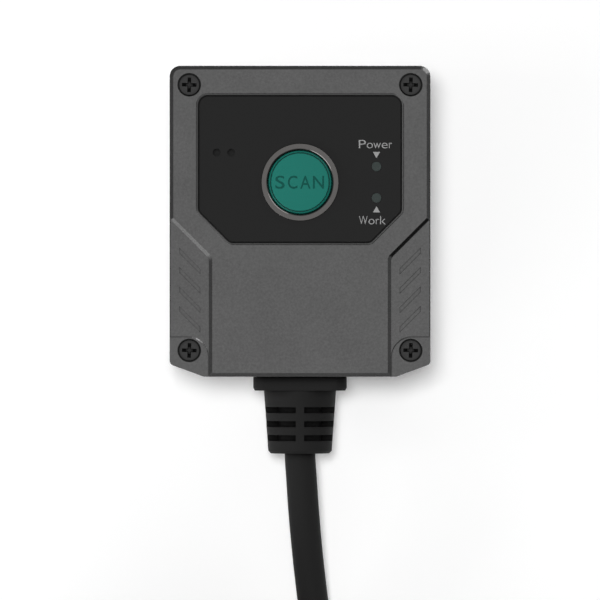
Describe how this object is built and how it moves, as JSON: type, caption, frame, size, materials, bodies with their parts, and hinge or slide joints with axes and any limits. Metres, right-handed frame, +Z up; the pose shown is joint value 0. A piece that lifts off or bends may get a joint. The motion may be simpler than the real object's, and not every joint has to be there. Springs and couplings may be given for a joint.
{
  "type": "fixed barcode reader",
  "caption": "Small box-shaped fixed code reader with a green scan button on a black panel, a reading window on one end and a cable with a plug on the other.",
  "frame": {"origin": "centre of the housing's base, on the surface that the reader lies on", "axes": "+Z up through the button face, +Y out of the reading window, +X to the side of the indicator windows; the cable leaves along -Y"},
  "size_m": [0.0985, 0.1869, 0.0338],
  "materials": {
    "housing": "fine-grained dark grey",
    "seal": "matt black",
    "dark_screw": "blackened",
    "brass": "plain",
    "panel": "smooth black film",
    "bezel": "dark turned metal",
    "button": "satin green",
    "black_plastic": "matt black",
    "white_plastic": "plain",
    "clear_plastic": "smoky clear",
    "steel": "plated",
    "board": "green solder resist",
    "wire": "plain",
    "ribbon": "amber film",
    "lens": "coated",
    "window": "dark tinted",
    "cable_rubber": "matt black",
    "strap": "woven hook-and-loop"
  },
  "bodies": {
    "housing": {"base_case": "housing", "top_cover": "housing", "case_gasket": "seal", "cover_screws": "dark_screw", "mount_inserts": "brass", "panel_overlay": "panel", "button_bezel": "bezel", "switch_body": "black_plastic", "button_spring": "steel", "power_light_pipe": "clear_plastic", "work_light_pipe": "clear_plastic", "power_led": "white_plastic", "work_led": "white_plastic", "buzzer": "black_plastic", "sound_membrane": "black_plastic", "main_board": "board", "board_screws": "steel", "processor_chip": "black_plastic", "memory_chip": "black_plastic", "board_header": "white_plastic", "harness_plug": "white_plastic", "harness_wires": "wire", "ribbon_socket": "white_plastic", "engine_ribbon": "ribbon", "engine_chassis": "black_plastic", "engine_screws": "steel", "lens_barrel": "black_plastic", "camera_lens": "lens", "sensor_board": "board", "image_sensor": "black_plastic", "lamp_leds": "white_plastic", "lamp_lenses": "lens", "aimer_led": "white_plastic", "aimer_lens": "lens", "reading_window": "window", "window_gasket": "seal", "strain_relief": "cable_rubber", "cable_lead": "cable_rubber", "cable_coil": "cable_rubber", "cable_tail": "cable_rubber", "coil_straps": "strap", "plug_grip": "black_plastic", "plug_shell": "steel", "plug_tongue": "white_plastic"},
    "button": {"scan_button": "button", "switch_plunger": "black_plastic"}
  },
  "joints": [
    {"name": "button_press", "type": "slide", "parent": "housing", "child": "button", "axis": [0, 0, -1], "range_m": [0, 0.0008], "stiffness_N_per_m": 1200, "springref_m": -0.0008, "deforming": ["button_spring"]}
  ]
}
